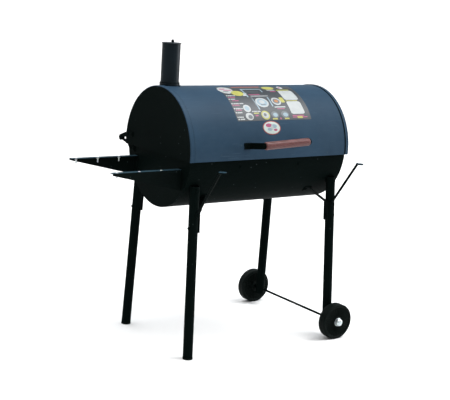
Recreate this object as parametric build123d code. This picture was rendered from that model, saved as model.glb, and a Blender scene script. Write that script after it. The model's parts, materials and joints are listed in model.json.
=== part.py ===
from build123d import *

import math
import os

# Barrel charcoal smoker grill: a horizontal steel barrel split along its middle, a hinged lid with a wooden
# handle and a smokestack, four splayed tube legs, two wheels on an axle, and the supports for two shelves.
# It is drawn about the barrel: X runs along it, Y from front to back and Z up from the floor, with X = 0 at
# mid length and Y = 0 on the barrel's axis. The export moves it all to the centre of its footprint.
# Millimetres and degrees.

# ---- barrel and lid
AXIS_Z = 782.0              # height of the barrel's axis
SHEET = 1.6                 # thickness of skins and end plates
GAP = 0.1                   # between pieces of one assembly that lie against each other
MOVING_GAP = 0.3            # between faces that move past each other
RUNNING_GAP = 0.08          # radial clearance where a piece turns on a pin
HOLE_GAP = 0.2              # radial clearance of a bolt hole
BODY_R = 229.0              # lower skin, outside
BODY_HALF = 375.0           # lower half of the barrel, half its length over the end plates
LID_R = 239.0               # lid skin, outside
LID_HALF = 384.0            # lid, half its length over the end plates
LID_FRONT_Z = 764.0         # lower edge of the lid at the front and of its end plates
LID_REAR_Z = AXIS_Z + 2.0   # lower edge of the lid skin at the back
BAND_WIDTH = 20.0           # rim of each lid end, folded over the skin
BAND_R = LID_R + GAP + SHEET

# ---- hinge at each rear corner
PIVOT_Y = 278.0
PIVOT_Z = 783.0
PIVOT_R = 4.0
EAR_THICK = 3.0
EAR_EYE_R = 12.0
BODY_EAR_BOLTS = ((186.0, 748.0), (208.0, 752.0))
LID_EAR_BOLTS = ((194.0, 806.0), (221.0, 803.0))
BOLT_R = 3.0
BOLT_HEAD_H = 3.0

# ---- smokestack and its swinging cap
STACK_X = -324.0
STACK_Y = 25.0
STACK_R = 35.7
STACK_TOP_Z = 1181.0
STACK_FOOT_Z = 996.0
COLLAR_R = 39.0
COLLAR_TOP_Z = 1032.0
FLANGE_R = 56.0
RIVET_R = 2.0
CAP_R = 38.0
CAP_THICK = 3.0
CAP_PIVOT = (19.0, 22.0)    # from the stack's axis
CAP_BOLT_R = 3.0
LUG_SIZE = 15.0
LUG_THICK = 3.0

# ---- wooden handle
GRIP_LENGTH = 215.0
GRIP_R = 15.5
GRIP_Y = -320.0
GRIP_Z = 834.0
ARM_WIDTH = 24.0
ARM_THICK = 3.0
ARM_FOOT = 30.0
HANDLE_ROD_R = 3.0
HANDLE_SKEW = 0.86          # the left foot is bolted lower on the lid and the right one higher, in degrees

# ---- label and badge on the lid, as angles up from the front horizontal
LABEL_X = (-154.0, 208.0)
LABEL_ANGLES = (31.8, 81.6)
LABEL_THICK = 0.3
BADGE_ANGLE = 24.6
BADGE_HALF_X = 43.0
BADGE_HALF_ARC = 28.0

# ---- legs
LEG_FLOOR_X = 347.0
LEG_TOP_X = 333.0
LEG_FLOOR_Y = 238.0
LEG_TOP_Y = 202.0
LEG_TOP_Z = 668.0
LEG_R = 19.0
LEG_WALL = 2.0
LEG_BOLT_Z = 652.0
LEG_BOLT_R = 4.0
FOOT_CAP_H = 6.0
CORNERS = {"front_left": (-1, -1), "back_left": (-1, 1), "front_right": (1, -1), "back_right": (1, 1)}

# ---- leg braces
BRACE_ANGLE = 47.0          # of the brace's foot on the barrel, below the horizontal
BRACE_X = 250.0
BRACE_WIDTH = 26.0
BRACE_THICK = 3.0
BRACE_FOOT_HALF = 18.0
BRACE_FOOT_BOLT = 8.0       # from the middle of the foot, away from the leg
BRACE_TOP_Z = 572.0         # of its part along the leg
BRACE_END_Z = 490.0
BRACE_LEG_BOLT_Z = 508.0

# ---- wheels and axle
WHEEL_R = 74.0
WHEEL_IN_Y = 267.0
WHEEL_OUT_Y = 305.0
TREAD_DEPTH = 12.0
WEB_THICK = 30.0
RIB_COUNT = 32
RIB_THICK = 2.5
HUB_R = 24.0
AXLE_X = 345.5              # on the centre lines of the right legs
AXLE_R = 4.75
HUB_CAP_R = 17.5
HUB_CAP_OUT_Y = 324.0
LEG_BELOW_AXLE = 22.0

# ---- shelf brackets on the left end
BRACKET_TIP_X = -668.0
BRACKET_Y = 172.0
BRACKET_TOP_Z = 727.0
BRACKET_ROOT_H = 80.0
BRACKET_TIP_H = 8.0
BRACKET_THICK = 2.0
BRACKET_FLANGE = 24.0
BRACKET_BOLT_IN = 12.0      # bolt line, in from the web
BRACKET_WALL_BOLTS_Z = (710.0, 664.0)
SLAT_BOLTS_X = (-645.0, -551.0, -457.0)
SLAT_BOLT_HEAD_R = 6.0
SLAT_BOLT_HEAD_H = 1.8

# ---- struts of the front shelf
STRUT_X = 330.0
STRUT_R = 5.0
STRUT_FOOT_Z = 562.0
STRUT_FOOT_R = 10.0
STRUT_ROD_RISE = 13.0       # of the rod's lower end, above the foot's bolt
STRUT_BEND = (-360.0, 748.0)
STRUT_TAB_Y = -373.0
STRUT_TAB_R = 15.0
STRUT_TAB_THICK = 4.0
STRUT_HOLE_R = 3.5

# ---- grates
RAIL_TOP_Z = 744.0
RAIL_OUT_Y = 220.0
RAIL_SIZE = 17.0
RAIL_THICK = 2.5
RAIL_BOLTS_X = (-142.0, 142.0)
RAIL_BOLT_Z = 733.0
GRATE_COUNT = 4
GRATE_PITCH = 183.0
GRATE_WIDTH = 181.0
GRATE_HALF_DEPTH = 214.0
GRATE_H = 10.0
GRATE_BAR = 6.0
GRATE_SLOTS = 9
FIRE_GRATE_Z = 630.0
FIRE_GRATE_HALF_X = 352.0
FIRE_GRATE_HALF_Y = 150.0
FIRE_ROD_R = 3.0
FIRE_ROD_COUNT = 29

# ---- air shutter on the right end
SHUTTER_Z = 655.0
SHUTTER_R = 46.0
SHUTTER_THICK = 1.5
VENT_R = 12.0
VENT_ORBIT_R = 27.0
VENT_COUNT = 3

# ---- centre of the footprint, from the pieces that reach out the furthest
ORIGIN_X = (BRACKET_TIP_X + AXLE_X + WHEEL_R) / 2
ORIGIN_Y = (STRUT_TAB_Y - STRUT_TAB_R + HUB_CAP_OUT_Y) / 2
FAR = 1000.0                # past everything, for cutting tools


# ---- helpers -------------------------------------------------------------------------------------------

def block(x0, x1, y0, y1, z0, z1):
    """A box from its limits, in any order."""
    middle = Pos((x0 + x1) / 2, (y0 + y1) / 2, (z0 + z1) / 2)
    return middle * Box(abs(x1 - x0), abs(y1 - y0), abs(z1 - z0))


def x_rod(radius, x0, x1, y, z):
    """A round bar along X."""
    return Pos((x0 + x1) / 2, y, z) * Rot(0, 90, 0) * Cylinder(radius, abs(x1 - x0))


def y_rod(radius, y0, y1, x, z):
    """A round bar along Y."""
    return Pos(x, (y0 + y1) / 2, z) * Rot(90, 0, 0) * Cylinder(radius, abs(y1 - y0))


def z_rod(radius, z0, z1, x, y):
    """A round bar along Z."""
    return Pos(x, y, (z0 + z1) / 2) * Cylinder(radius, abs(z1 - z0))


def plate_yz(points, x0, x1):
    """A flat plate across X from its (y, z) outline."""
    outline = make_face(Polyline(*points, close=True))
    return extrude(Plane.YZ.offset(min(x0, x1)) * outline, amount=abs(x1 - x0))


def plate_xz(points, y0, y1):
    """A flat plate across Y from its (x, z) outline."""
    outline = make_face(Polyline(*points, close=True))
    return extrude(Plane.XZ.offset(-max(y0, y1)) * outline, amount=abs(y1 - y0))


def barrel_point(radius, angle):
    """(y, z) on a circle about the barrel's axis, the angle measured up from the front horizontal."""
    turn = math.radians(angle)
    return -radius * math.cos(turn), AXIS_Z + radius * math.sin(turn)


def barrel_plane(angle, radius, x):
    """A plane that touches the barrel there: local X runs along it and local Z points outwards."""
    y, z = barrel_point(radius, angle)
    return Plane(origin=(x, y, z), x_dir=(1, 0, 0), z_dir=(0, y, z - AXIS_Z))


def hex_bolt(radius, grip, head_h=BOLT_HEAD_H):
    """A hex bolt whose head stands on local Z = 0, with its nut under the grip."""
    nut_h = radius * 1.2
    corner_r = radius * 1.9
    bolt = extrude(RegularPolygon(corner_r, 6), amount=head_h)
    bolt += Pos(0, 0, -grip - nut_h) * extrude(RegularPolygon(corner_r, 6), amount=nut_h)
    return bolt + Pos(0, 0, -(grip + nut_h + 2) / 2) * Cylinder(radius, grip + nut_h + 2)


def dome(radius, height):
    """A low round head that stands on local Z = 0."""
    ball_r = (radius**2 + height**2) / (2 * height)
    return Pos(0, 0, height - ball_r) * Sphere(ball_r) & Pos(0, 0, height / 2) * Cylinder(radius, height)


def facing_plane(direction, x, y, z):
    """A plane at a point whose local Z points along the direction."""
    x_dir = (0, 1, 0) if direction[0] else (1, 0, 0)
    return Plane(origin=(x, y, z), x_dir=x_dir, z_dir=direction)


def group(pieces):
    """Separate solids that share one node."""
    return Compound(children=list(pieces))


# ---- lower half of the barrel ---------------------------------------------------------------------------

def body_shell():
    inside = BODY_HALF - SHEET
    skin = x_rod(BODY_R, -inside, inside, 0, AXIS_Z) - x_rod(BODY_R - SHEET, -FAR, FAR, 0, AXIS_Z)
    skin -= block(-FAR, FAR, -FAR, FAR, AXIS_Z, AXIS_Z + FAR)
    for side_x, side_y in CORNERS.values():
        leg_bolt_x = side_x * leg_x(LEG_BOLT_Z)
        skin -= y_rod(LEG_BOLT_R + HOLE_GAP, side_y * 150, side_y * 240, leg_bolt_x, LEG_BOLT_Z)
        skin -= brace_foot_hole(side_x, side_y)
    for x in RAIL_BOLTS_X:
        skin -= y_rod(BOLT_R + HOLE_GAP, -FAR, FAR, x, RAIL_BOLT_Z)
    return skin


def body_end(side):
    plate = x_rod(BODY_R, side * (BODY_HALF - SHEET), side * BODY_HALF, 0, AXIS_Z)
    plate -= block(-FAR, FAR, -FAR, FAR, AXIS_Z, AXIS_Z + FAR)
    holes = [(BOLT_R, y, z) for y, z in BODY_EAR_BOLTS]
    if side > 0:
        holes += [(VENT_R, y, z) for y, z in vent_centres()]
        holes += [(BOLT_R, 0, SHUTTER_Z)]
    else:
        holes += [(BOLT_R, y, z) for y, z in bracket_wall_bolts()]
    for radius, y, z in holes:
        plate -= x_rod(radius + HOLE_GAP, side * 350, side * 390, y, z)
    return plate


def grate_rail(side_y):
    """An angle rail inside the barrel that carries the cooking grates."""
    half = BODY_HALF - SHEET - 2
    out_y = side_y * RAIL_OUT_Y
    rail = block(-half, half, out_y, side_y * (RAIL_OUT_Y - RAIL_SIZE), RAIL_TOP_Z - RAIL_THICK, RAIL_TOP_Z)
    rail += block(-half, half, out_y, side_y * (RAIL_OUT_Y - RAIL_THICK), RAIL_TOP_Z - RAIL_SIZE, RAIL_TOP_Z)
    for x in RAIL_BOLTS_X:
        rail -= y_rod(BOLT_R + HOLE_GAP, -FAR, FAR, x, RAIL_BOLT_Z)
    return rail


def rail_bolts():
    head_y = math.sqrt(BODY_R**2 - (AXIS_Z - RAIL_BOLT_Z) ** 2) + 0.8
    grip = head_y - RAIL_OUT_Y + RAIL_THICK + GAP
    for side_y in (-1, 1):
        for x in RAIL_BOLTS_X:
            yield facing_plane((0, side_y, 0), x, side_y * head_y, RAIL_BOLT_Z) * hex_bolt(BOLT_R, grip)


# ---- grates ---------------------------------------------------------------------------------------------

def cooking_grate(index):
    """A cast grate: a frame with bars that run from front to back."""
    middle = (index - (GRATE_COUNT - 1) / 2) * GRATE_PITCH
    low, top = RAIL_TOP_Z + MOVING_GAP, RAIL_TOP_Z + MOVING_GAP + GRATE_H
    half = GRATE_WIDTH / 2
    grate = block(middle - half, middle + half, -GRATE_HALF_DEPTH, GRATE_HALF_DEPTH, low, top)
    slot = (GRATE_WIDTH - GRATE_BAR * (GRATE_SLOTS + 1)) / GRATE_SLOTS
    for number in range(GRATE_SLOTS):
        x0 = middle - half + GRATE_BAR + number * (slot + GRATE_BAR)
        for y0, y1 in ((-GRATE_HALF_DEPTH + 14, -GRATE_BAR), (GRATE_BAR, GRATE_HALF_DEPTH - 14)):
            grate -= block(x0, x0 + slot, y0, y1, low - 1, top + 1)
    return grate


def fire_grate():
    """Rods welded across two cross bars, which rest on the barrel's curve."""
    bar_z = FIRE_GRATE_Z - 2 * FIRE_ROD_R + 1
    grate = None
    for side in (-1, 1):
        bar_x = side * FIRE_GRATE_HALF_X * 0.7
        bar = y_rod(FIRE_ROD_R + 1, -FIRE_GRATE_HALF_Y, FIRE_GRATE_HALF_Y, bar_x, bar_z)
        grate = bar if grate is None else grate + bar
    for number in range(FIRE_ROD_COUNT):
        y = (number / (FIRE_ROD_COUNT - 1) - 0.5) * 2 * (FIRE_GRATE_HALF_Y - 4)
        grate += x_rod(FIRE_ROD_R, -FIRE_GRATE_HALF_X, FIRE_GRATE_HALF_X, y, FIRE_GRATE_Z)
    return grate


# ---- air shutter ----------------------------------------------------------------------------------------

SHUTTER_IN_X = BODY_HALF + MOVING_GAP
SHUTTER_OUT_X = SHUTTER_IN_X + SHUTTER_THICK


def vent_centres():
    for number in range(VENT_COUNT):
        turn = math.radians(90 + number * 360 / VENT_COUNT)
        yield VENT_ORBIT_R * math.cos(turn), SHUTTER_Z + VENT_ORBIT_R * math.sin(turn)


def air_shutter():
    """A round plate on the right end whose holes line up with the vents when it is open."""
    plate = x_rod(SHUTTER_R, SHUTTER_IN_X, SHUTTER_OUT_X, 0, SHUTTER_Z)
    tab = block(SHUTTER_IN_X, SHUTTER_OUT_X, -8, 8, SHUTTER_Z - SHUTTER_R - 14, SHUTTER_Z - SHUTTER_R + 5)
    lip_z = SHUTTER_Z - SHUTTER_R - 14
    lip = block(SHUTTER_IN_X, SHUTTER_OUT_X + 9, -8, 8, lip_z, lip_z + 2)
    plate += tab + lip
    for y, z in vent_centres():
        plate -= x_rod(VENT_R, SHUTTER_IN_X - 1, SHUTTER_OUT_X + 1, y, z)
    return plate - x_rod(BOLT_R + RUNNING_GAP, SHUTTER_IN_X - 1, SHUTTER_OUT_X + 1, 0, SHUTTER_Z)


def shutter_rivet():
    head_x = SHUTTER_OUT_X + MOVING_GAP
    inside_x = BODY_HALF - SHEET - GAP
    rivet = x_rod(BOLT_R, inside_x, head_x, 0, SHUTTER_Z)
    rivet += facing_plane((1, 0, 0), head_x, 0, SHUTTER_Z) * dome(7, 3)
    return rivet + x_rod(6, inside_x - 2, inside_x, 0, SHUTTER_Z)


# ---- lid ------------------------------------------------------------------------------------------------

def lid_shell():
    inside = LID_HALF - SHEET - GAP
    skin = x_rod(LID_R, -inside, inside, 0, AXIS_Z) - x_rod(LID_R - SHEET, -FAR, FAR, 0, AXIS_Z)
    skin -= block(-FAR, FAR, -FAR, 0, 0, LID_FRONT_Z)
    skin -= block(-FAR, FAR, 0, FAR, 0, LID_REAR_Z)
    skin -= z_rod(STACK_R + HOLE_GAP, AXIS_Z, AXIS_Z + FAR, STACK_X, STACK_Y)
    for side in (-1, 1):
        skin -= handle_foot_plane(side) * Cylinder(BOLT_R + HOLE_GAP, 20)
    for plane in stack_rivet_planes():
        skin -= plane * Cylinder(RIVET_R + HOLE_GAP, 20)
    return skin


def lid_end(side):
    """A pressed end: a flat plate with its rim folded over the lid's skin."""
    plate = x_rod(BAND_R, side * (LID_HALF - SHEET), side * LID_HALF, 0, AXIS_Z)
    plate -= block(-FAR, FAR, -FAR, FAR, 0, LID_FRONT_Z)
    band = x_rod(BAND_R, side * (LID_HALF - BAND_WIDTH), side * LID_HALF, 0, AXIS_Z)
    band -= x_rod(LID_R + GAP, -FAR, FAR, 0, AXIS_Z)
    band -= block(-FAR, FAR, -FAR, 0, 0, LID_FRONT_Z - 3)
    band -= block(-FAR, FAR, 0, FAR, 0, LID_REAR_Z)
    end = plate + band
    for y, z in LID_EAR_BOLTS:
        end -= x_rod(BOLT_R + HOLE_GAP, side * 370, side * 390, y, z)
    return end


# ---- hinges ---------------------------------------------------------------------------------------------

def hinge_ear(side, inner_x, outline, bolts):
    """A flat ear that ends in a round eye about the pivot."""
    x0, x1 = side * inner_x, side * (inner_x + EAR_THICK)
    ear = plate_yz(outline, x0, x1) + x_rod(EAR_EYE_R, x0, x1, PIVOT_Y, PIVOT_Z)
    ear -= x_rod(PIVOT_R + RUNNING_GAP, side * 350, side * 400, PIVOT_Y, PIVOT_Z)
    for y, z in bolts:
        ear -= x_rod(BOLT_R + HOLE_GAP, side * 350, side * 400, y, z)
    return ear


def body_hinge_ear(side):
    outline = [(176, 757), (178, 738), (210, 738), (234, 762), (PIVOT_Y + 4, PIVOT_Z - 11)]
    outline += [(PIVOT_Y, PIVOT_Z), (258, 779), (228, 779), (206, 764)]
    return hinge_ear(side, BODY_HALF, outline, BODY_EAR_BOLTS)


def lid_hinge_ear(side):
    outline = [(182, 798), (184, 816), (224, 815), (PIVOT_Y + 6, PIVOT_Z + 10)]
    outline += [(PIVOT_Y, PIVOT_Z), (262, 786), (232, 791)]
    return hinge_ear(side, LID_HALF, outline, LID_EAR_BOLTS)


def hinge_bolts():
    """The pivots, each with a spacer tube between its two ears."""
    head_x = LID_HALF + EAR_THICK + MOVING_GAP
    for side in (-1, 1):
        plane = facing_plane((side, 0, 0), side * head_x, PIVOT_Y, PIVOT_Z)
        bolt = plane * hex_bolt(PIVOT_R, head_x - BODY_HALF + GAP)
        inner, outer = BODY_HALF + EAR_THICK + GAP, LID_HALF - MOVING_GAP
        yield bolt + x_rod(PIVOT_R + 3.5, side * inner, side * outer, PIVOT_Y, PIVOT_Z)


def ear_bolts(places, outer_x):
    for side in (-1, 1):
        for y, z in places:
            plane = facing_plane((side, 0, 0), side * (outer_x + GAP), y, z)
            yield plane * hex_bolt(BOLT_R, EAR_THICK + SHEET + 2 * GAP)


# ---- smokestack -----------------------------------------------------------------------------------------

def stack_tube():
    inner_r = STACK_R - SHEET
    tube = z_rod(STACK_R, STACK_FOOT_Z, STACK_TOP_Z, STACK_X, STACK_Y)
    tube -= z_rod(inner_r, 0, 2 * FAR, STACK_X, STACK_Y)
    x, y = cap_pivot()
    toward_pivot = math.degrees(math.atan2(CAP_PIVOT[1], CAP_PIVOT[0]))
    lug = Rot(0, 0, toward_pivot) * Box(LUG_SIZE, LUG_SIZE, LUG_THICK)
    lug = Pos(x, y, STACK_TOP_Z - LUG_THICK / 2) * lug
    tube += lug & z_rod(inner_r + SHEET / 2, 0, 2 * FAR, STACK_X, STACK_Y)
    return tube - z_rod(CAP_BOLT_R + HOLE_GAP, STACK_TOP_Z - 10, STACK_TOP_Z + 10, x, y)


def stack_collar():
    """A short neck that closes the lid round the foot of the stack."""
    neck = z_rod(COLLAR_R, AXIS_Z + 200, COLLAR_TOP_Z, STACK_X, STACK_Y)
    neck -= z_rod(STACK_R + GAP, 0, 2 * FAR, STACK_X, STACK_Y)
    return neck - x_rod(LID_R + GAP, -FAR, FAR, 0, AXIS_Z)


def stack_flange():
    """A curved ring under the lid that holds the stack."""
    out_r = LID_R - SHEET - GAP
    ring = x_rod(out_r, -FAR, 0, 0, AXIS_Z) - x_rod(out_r - 2, -FAR, FAR, 0, AXIS_Z)
    ring &= z_rod(FLANGE_R, AXIS_Z, AXIS_Z + FAR, STACK_X, STACK_Y)
    ring -= z_rod(STACK_R + GAP, 0, 2 * FAR, STACK_X, STACK_Y)
    for plane in stack_rivet_planes():
        ring -= plane * Cylinder(RIVET_R + HOLE_GAP, 20)
    return ring & block(-LID_HALF + SHEET + 1, FAR, -FAR, FAR, 0, 2 * FAR)


def stack_rivet_planes():
    """On the lid's skin round the stack, clear of the lid's folded rim."""
    for turn in (-70, 0, 70):
        x = STACK_X + (FLANGE_R - 8) * math.cos(math.radians(turn))
        y = STACK_Y + (FLANGE_R - 8) * math.sin(math.radians(turn))
        yield barrel_plane(90 + math.degrees(math.asin(y / LID_R)), LID_R, x)


def stack_rivets():
    for plane in stack_rivet_planes():
        rivet = Pos(0, 0, 0.3) * dome(4, 1.2)
        rivet += Pos(0, 0, -1.8) * Cylinder(RIVET_R, 4.6)
        yield plane * (rivet + Pos(0, 0, -4.6) * Cylinder(3.5, 1))


def cap_pivot():
    return STACK_X + CAP_PIVOT[0], STACK_Y + CAP_PIVOT[1]


def stack_cap():
    """A flat lid that swings aside about a bolt in the stack's rim."""
    low = STACK_TOP_Z + MOVING_GAP
    cap = z_rod(CAP_R, low, low + CAP_THICK, STACK_X, STACK_Y)
    cap = fillet(cap.edges().filter_by(GeomType.CIRCLE).sort_by(Axis.Z)[-1], 1.2)
    x, y = cap_pivot()
    return cap - z_rod(CAP_BOLT_R + RUNNING_GAP, low - 5, low + 10, x, y)


def cap_bolt():
    """The cap's pivot, with its round knob nut on top."""
    x, y = cap_pivot()
    low = STACK_TOP_Z - LUG_THICK - GAP
    top = STACK_TOP_Z + 2 * MOVING_GAP + CAP_THICK
    bolt = z_rod(CAP_BOLT_R, low - 3, top + 4, x, y) + z_rod(5, low - 3, low, x, y)
    bolt += z_rod(5.5, top, top + 3, x, y)
    return bolt + Pos(x, y, top + 5) * Sphere(5.5)


# ---- handle ---------------------------------------------------------------------------------------------

GRIP_ANGLE = math.degrees(math.atan2(GRIP_Z - AXIS_Z, -GRIP_Y))
ARM_REACH = math.hypot(GRIP_Z - AXIS_Z, GRIP_Y) - LID_R - GAP
ARM_BOLT_X = GRIP_LENGTH / 2 + ARM_THICK + ARM_FOOT / 2
ARM_RISE = (LID_R + ARM_REACH) * math.radians(HANDLE_SKEW)
GRIP_TILT = math.degrees(math.atan2(2 * ARM_RISE, GRIP_LENGTH))


def arm_plane(side):
    return barrel_plane(GRIP_ANGLE + side * HANDLE_SKEW, LID_R + GAP, 0)


def grip_plane():
    """At the middle of the grip: local X runs along it."""
    return barrel_plane(GRIP_ANGLE, LID_R + GAP + ARM_REACH, 0) * Rot(0, 0, GRIP_TILT)


def handle_foot_plane(side):
    return barrel_plane(GRIP_ANGLE + side * HANDLE_SKEW, LID_R + GAP, side * ARM_BOLT_X)


def handle_grip():
    half = GRIP_LENGTH / 2 - 0.7
    grip = x_rod(GRIP_R, -half, half, 0, 0)
    grip = fillet(grip.edges().filter_by(GeomType.CIRCLE), 5.0)
    return grip_plane() * (grip - x_rod(HANDLE_ROD_R + GAP, -half - 5, half + 5, 0, 0))


def handle_bracket(side):
    """A bent strap: a foot on the lid and an arm out to the end of the grip."""
    half = ARM_WIDTH / 2
    arm_x0 = side * (GRIP_LENGTH / 2 + GAP)
    arm_x1 = side * (GRIP_LENGTH / 2 + ARM_THICK)
    foot_x1 = side * (GRIP_LENGTH / 2 + ARM_THICK + ARM_FOOT)
    strap = block(arm_x0, arm_x1, -half, half, 0, ARM_REACH) + x_rod(half, arm_x0, arm_x1, 0, ARM_REACH)
    strap += block(arm_x0, foot_x1, -half, half, 0, ARM_THICK)
    strap -= x_rod(HANDLE_ROD_R + 2 * HOLE_GAP, side * 90, side * 130, 0, ARM_REACH)
    strap -= Pos(side * ARM_BOLT_X, 0, 0) * Cylinder(BOLT_R + HOLE_GAP, 20)
    return arm_plane(side) * strap


def handle_rod():
    """A rod through the grip, with a round nut outside each arm."""
    half = GRIP_LENGTH / 2 + ARM_THICK
    rod = x_rod(HANDLE_ROD_R, -half - 4, half + 4, 0, 0)
    for side in (-1, 1):
        rod += x_rod(7, side * (half + 0.5), side * (half + 4.4), 0, 0)
    return grip_plane() * rod


def handle_bolts():
    for side in (-1, 1):
        bolt = hex_bolt(BOLT_R, ARM_THICK + SHEET + 3 * GAP)
        yield handle_foot_plane(side) * Pos(0, 0, ARM_THICK + GAP) * bolt


# ---- label and badge ------------------------------------------------------------------------------------

def label_skin(x0, x1):
    inner_r = LID_R + GAP
    return x_rod(inner_r + LABEL_THICK, x0, x1, 0, AXIS_Z) - x_rod(inner_r, -FAR, FAR, 0, AXIS_Z)


def lid_label():
    """A paper label wrapped on the lid between two angles."""
    low, high = LABEL_ANGLES
    fan = [(0, AXIS_Z)] + [barrel_point(2 * LID_R, angle) for angle in (low, (low + high) / 2, high)]
    return label_skin(*LABEL_X) & plate_yz(fan, *LABEL_X)


def lid_badge():
    """An oval sticker below the label."""
    oval = barrel_plane(BADGE_ANGLE, LID_R, 0) * Ellipse(BADGE_HALF_X, BADGE_HALF_ARC)
    return label_skin(-BADGE_HALF_X, BADGE_HALF_X) & extrude(oval, amount=12, both=True)


# ---- left shelf brackets --------------------------------------------------------------------------------

BRACKET_WALL_X = -BODY_HALF - GAP


def bracket_wall_bolts():
    for side_y in (-1, 1):
        for z in BRACKET_WALL_BOLTS_Z:
            yield side_y * (BRACKET_Y - BRACKET_BOLT_IN), z


def shelf_bracket(side_y):
    """A tapered angle arm: the web outside, the top flange and the wall flange turned inwards."""
    low_z = BRACKET_TOP_Z - BRACKET_ROOT_H
    outer, flange = side_y * BRACKET_Y, side_y * (BRACKET_Y - BRACKET_FLANGE)
    outline = [(BRACKET_TIP_X, BRACKET_TOP_Z), (BRACKET_TIP_X, BRACKET_TOP_Z - BRACKET_TIP_H)]
    outline += [(BRACKET_WALL_X, low_z), (BRACKET_WALL_X, BRACKET_TOP_Z)]
    bracket = plate_xz(outline, outer, side_y * (BRACKET_Y - BRACKET_THICK))
    flange_low = BRACKET_TOP_Z - BRACKET_THICK
    bracket += block(BRACKET_TIP_X, BRACKET_WALL_X, outer, flange, flange_low, BRACKET_TOP_Z)
    bracket += block(BRACKET_WALL_X - BRACKET_THICK, BRACKET_WALL_X, outer, flange, low_z, BRACKET_TOP_Z)
    bolt_y = side_y * (BRACKET_Y - BRACKET_BOLT_IN)
    for x in SLAT_BOLTS_X:
        bracket -= z_rod(BOLT_R + HOLE_GAP, BRACKET_TOP_Z - 10, BRACKET_TOP_Z + 10, x, bolt_y)
    for y, z in bracket_wall_bolts():
        bracket -= x_rod(BOLT_R + HOLE_GAP, BRACKET_WALL_X - 10, BRACKET_WALL_X + 10, y, z)
    return bracket


def slat_bolts():
    """Carriage bolts that wait in the top flanges for the shelf's slats."""
    for side_y in (-1, 1):
        for x in SLAT_BOLTS_X:
            bolt = dome(SLAT_BOLT_HEAD_R, SLAT_BOLT_HEAD_H) + Pos(0, 0, -10) * Cylinder(BOLT_R, 20)
            nut = extrude(RegularPolygon(6, 4), amount=2, both=True)
            bolt += Pos(0, 0, -BRACKET_THICK - 2 * GAP - 2) * nut
            yield Pos(x, side_y * (BRACKET_Y - BRACKET_BOLT_IN), BRACKET_TOP_Z + GAP) * bolt


def bracket_bolts():
    head_x = BRACKET_WALL_X - BRACKET_THICK - GAP
    for y, z in bracket_wall_bolts():
        yield facing_plane((-1, 0, 0), head_x, y, z) * hex_bolt(BOLT_R, BRACKET_THICK + SHEET + 3 * GAP)


# ---- legs -----------------------------------------------------------------------------------------------

def leg_x(z):
    """How far a leg's centre line stands from the barrel's middle at a height."""
    return LEG_FLOOR_X + (LEG_TOP_X - LEG_FLOOR_X) * z / LEG_TOP_Z


def leg_y(z):
    """How far a leg's centre line stands from the barrel's axis at a height."""
    return LEG_FLOOR_Y + (LEG_TOP_Y - LEG_FLOOR_Y) * z / LEG_TOP_Z


def leg_round(side_x, side_y, radius):
    """An endless round bar along a leg's centre line."""
    foot = (side_x * LEG_FLOOR_X, side_y * LEG_FLOOR_Y, 0)
    lean = (side_x * (LEG_TOP_X - LEG_FLOOR_X), side_y * (LEG_TOP_Y - LEG_FLOOR_Y), LEG_TOP_Z)
    return Plane(origin=foot, x_dir=(1, 0, 0), z_dir=lean) * Cylinder(radius, 2 * FAR)


def slab(z0, z1):
    return block(-FAR, FAR, -FAR, FAR, z0, z1)


def leg(side_x, side_y):
    """A round tube, notched at the top to fit the barrel. A leg with a wheel ends just below the axle."""
    low_z = WHEEL_R - LEG_BELOW_AXLE if side_x > 0 else FOOT_CAP_H + GAP
    tube = leg_round(side_x, side_y, LEG_R) - leg_round(side_x, side_y, LEG_R - LEG_WALL)
    tube &= slab(low_z, LEG_TOP_Z)
    tube -= x_rod(BODY_R + GAP, -FAR, FAR, 0, AXIS_Z)
    tube -= y_rod(LEG_BOLT_R + HOLE_GAP, side_y * 170, side_y * 260, side_x * leg_x(LEG_BOLT_Z), LEG_BOLT_Z)
    brace_bolt_y = side_y * leg_y(BRACE_LEG_BOLT_Z)
    tube -= x_rod(BOLT_R + HOLE_GAP, side_x * 300, side_x * 370, brace_bolt_y, BRACE_LEG_BOLT_Z)
    if side_x > 0:
        tube -= y_rod(AXLE_R + GAP, side_y * 200, side_y * 280, AXLE_X, WHEEL_R)
    if side_y < 0:
        tube -= y_rod(BOLT_R + HOLE_GAP, -260, -180, side_x * STRUT_X, STRUT_FOOT_Z)
    return tube


def foot_caps():
    """Moulded plugs in the two legs that stand on the floor."""
    for side_y in (-1, 1):
        cap = leg_round(-1, side_y, LEG_R + 0.8) & slab(0, FOOT_CAP_H)
        cap = fillet(cap.edges().group_by(Axis.Z)[0], 1.5)
        yield cap + (leg_round(-1, side_y, LEG_R - LEG_WALL - GAP) & slab(1, 30))


def leg_bolts():
    """One bolt through each leg top and the barrel's skin."""
    barrel_y = math.sqrt((BODY_R - SHEET) ** 2 - (AXIS_Z - LEG_BOLT_Z) ** 2)
    head_y = leg_y(LEG_BOLT_Z) + LEG_R + 0.4
    for side_x, side_y in CORNERS.values():
        plane = facing_plane((0, side_y, 0), side_x * leg_x(LEG_BOLT_Z), side_y * head_y, LEG_BOLT_Z)
        yield plane * hex_bolt(LEG_BOLT_R, head_y - barrel_y + 7)


# ---- leg braces -----------------------------------------------------------------------------------------

def brace_plane(side_x, side_y):
    """At a brace's foot on the barrel: local X runs along the barrel and local Z points outwards."""
    angle = -BRACE_ANGLE if side_y < 0 else BRACE_ANGLE - 180
    return barrel_plane(angle, BODY_R, side_x * BRACE_X)


def brace_foot_hole(side_x, side_y):
    """For the bolt that holds a brace's foot to the barrel."""
    hole = Cylinder(BOLT_R + HOLE_GAP, 20)
    return brace_plane(side_x, side_y) * Pos(-side_x * BRACE_FOOT_BOLT, 0, 0) * hole


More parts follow.
